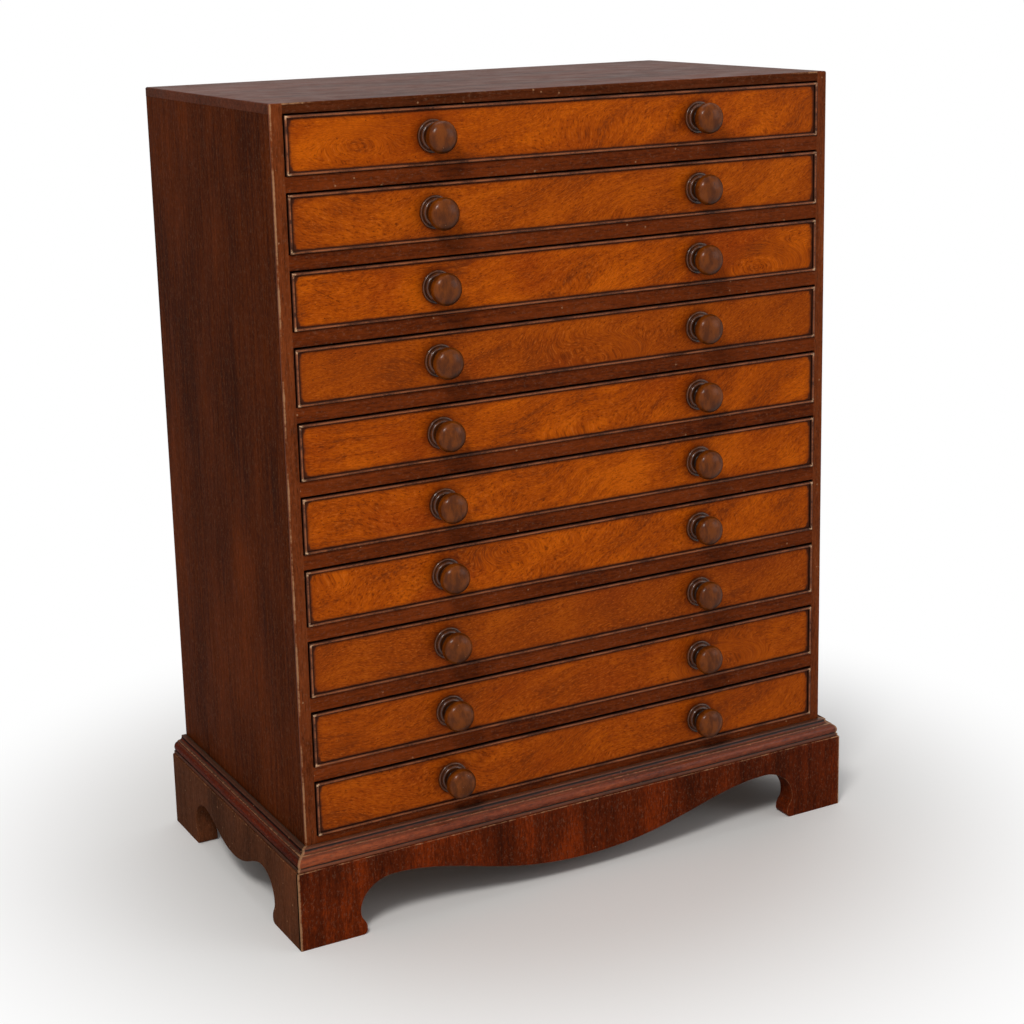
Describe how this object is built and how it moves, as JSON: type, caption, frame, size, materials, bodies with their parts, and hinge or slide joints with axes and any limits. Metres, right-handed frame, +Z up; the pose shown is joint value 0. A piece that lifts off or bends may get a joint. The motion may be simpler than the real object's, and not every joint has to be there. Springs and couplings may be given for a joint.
{
  "type": "specimen cabinet",
  "caption": "Tabletop mahogany chest of shallow, equal drawers with cock beads and turned knobs, on a moulded base with bracket feet.",
  "frame": {"origin": "centre of the footprint, knobs included, on the surface that the feet stand on", "axes": "+Z up, drawer fronts face -Y, +X to the right seen from the front"},
  "size_m": [0.5482, 0.3058, 0.6816],
  "materials": {
    "top_mahogany": "polished, dark, grain along the width",
    "side_mahogany": "polished, dark, grain upright",
    "front_mahogany": "polished, dark red-brown, grain across",
    "base_mahogany": "polished, deep red-brown",
    "drawer_veneer": "polished figured veneer with dark margins",
    "cock_bead": "polished, dark brown, worn light on the edges",
    "knob_mahogany": "turned and polished, glossy brown",
    "drawer_lining": "planed, unpolished, aged",
    "secondary_wood": "planed, unpolished, aged",
    "back_wood": "rough planed, unpolished, aged dark"
  },
  "bodies": {
    "carcass": {"top_board": "top_mahogany", "side_left": "side_mahogany", "side_right": "side_mahogany", "stile_left": "front_mahogany", "stile_right": "front_mahogany", "bottom_board": "secondary_wood", "back_boards": "back_wood", "drawer_rails": "front_mahogany", "drawer_runners": "secondary_wood", "drawer_stops": "secondary_wood", "moulding_front": "base_mahogany", "moulding_left": "base_mahogany", "moulding_right": "base_mahogany", "plinth_front": "base_mahogany", "plinth_left": "base_mahogany", "plinth_right": "base_mahogany", "rear_bracket_left": "secondary_wood", "rear_bracket_right": "secondary_wood", "glue_blocks": "secondary_wood"},
    "drawer_01": {"drawer_01_front": "drawer_veneer", "drawer_01_box": "drawer_lining", "drawer_01_cock_beads": "cock_bead", "drawer_01_knobs": "knob_mahogany"},
    "drawer_02": {"drawer_02_front": "drawer_veneer", "drawer_02_box": "drawer_lining", "drawer_02_cock_beads": "cock_bead", "drawer_02_knobs": "knob_mahogany"},
    "drawer_03": {"drawer_03_front": "drawer_veneer", "drawer_03_box": "drawer_lining", "drawer_03_cock_beads": "cock_bead", "drawer_03_knobs": "knob_mahogany"},
    "drawer_04": {"drawer_04_front": "drawer_veneer", "drawer_04_box": "drawer_lining", "drawer_04_cock_beads": "cock_bead", "drawer_04_knobs": "knob_mahogany"},
    "drawer_05": {"drawer_05_front": "drawer_veneer", "drawer_05_box": "drawer_lining", "drawer_05_cock_beads": "cock_bead", "drawer_05_knobs": "knob_mahogany"},
    "drawer_06": {"drawer_06_front": "drawer_veneer", "drawer_06_box": "drawer_lining", "drawer_06_cock_beads": "cock_bead", "drawer_06_knobs": "knob_mahogany"},
    "drawer_07": {"drawer_07_front": "drawer_veneer", "drawer_07_box": "drawer_lining", "drawer_07_cock_beads": "cock_bead", "drawer_07_knobs": "knob_mahogany"},
    "drawer_08": {"drawer_08_front": "drawer_veneer", "drawer_08_box": "drawer_lining", "drawer_08_cock_beads": "cock_bead", "drawer_08_knobs": "knob_mahogany"},
    "drawer_09": {"drawer_09_front": "drawer_veneer", "drawer_09_box": "drawer_lining", "drawer_09_cock_beads": "cock_bead", "drawer_09_knobs": "knob_mahogany"},
    "drawer_10": {"drawer_10_front": "drawer_veneer", "drawer_10_box": "drawer_lining", "drawer_10_cock_beads": "cock_bead", "drawer_10_knobs": "knob_mahogany"}
  },
  "joints": [
    {"name": "drawer_01_slide", "type": "slide", "parent": "carcass", "child": "drawer_01", "axis": [0, -1, 0], "range_m": [0, 0.2]},
    {"name": "drawer_02_slide", "type": "slide", "parent": "carcass", "child": "drawer_02", "axis": [0, -1, 0], "range_m": [0, 0.2]},
    {"name": "drawer_03_slide", "type": "slide", "parent": "carcass", "child": "drawer_03", "axis": [0, -1, 0], "range_m": [0, 0.2]},
    {"name": "drawer_04_slide", "type": "slide", "parent": "carcass", "child": "drawer_04", "axis": [0, -1, 0], "range_m": [0, 0.2]},
    {"name": "drawer_05_slide", "type": "slide", "parent": "carcass", "child": "drawer_05", "axis": [0, -1, 0], "range_m": [0, 0.2]},
    {"name": "drawer_06_slide", "type": "slide", "parent": "carcass", "child": "drawer_06", "axis": [0, -1, 0], "range_m": [0, 0.2]},
    {"name": "drawer_07_slide", "type": "slide", "parent": "carcass", "child": "drawer_07", "axis": [0, -1, 0], "range_m": [0, 0.2]},
    {"name": "drawer_08_slide", "type": "slide", "parent": "carcass", "child": "drawer_08", "axis": [0, -1, 0], "range_m": [0, 0.2]},
    {"name": "drawer_09_slide", "type": "slide", "parent": "carcass", "child": "drawer_09", "axis": [0, -1, 0], "range_m": [0, 0.2]},
    {"name": "drawer_10_slide", "type": "slide", "parent": "carcass", "child": "drawer_10", "axis": [0, -1, 0], "range_m": [0, 0.2]}
  ]
}
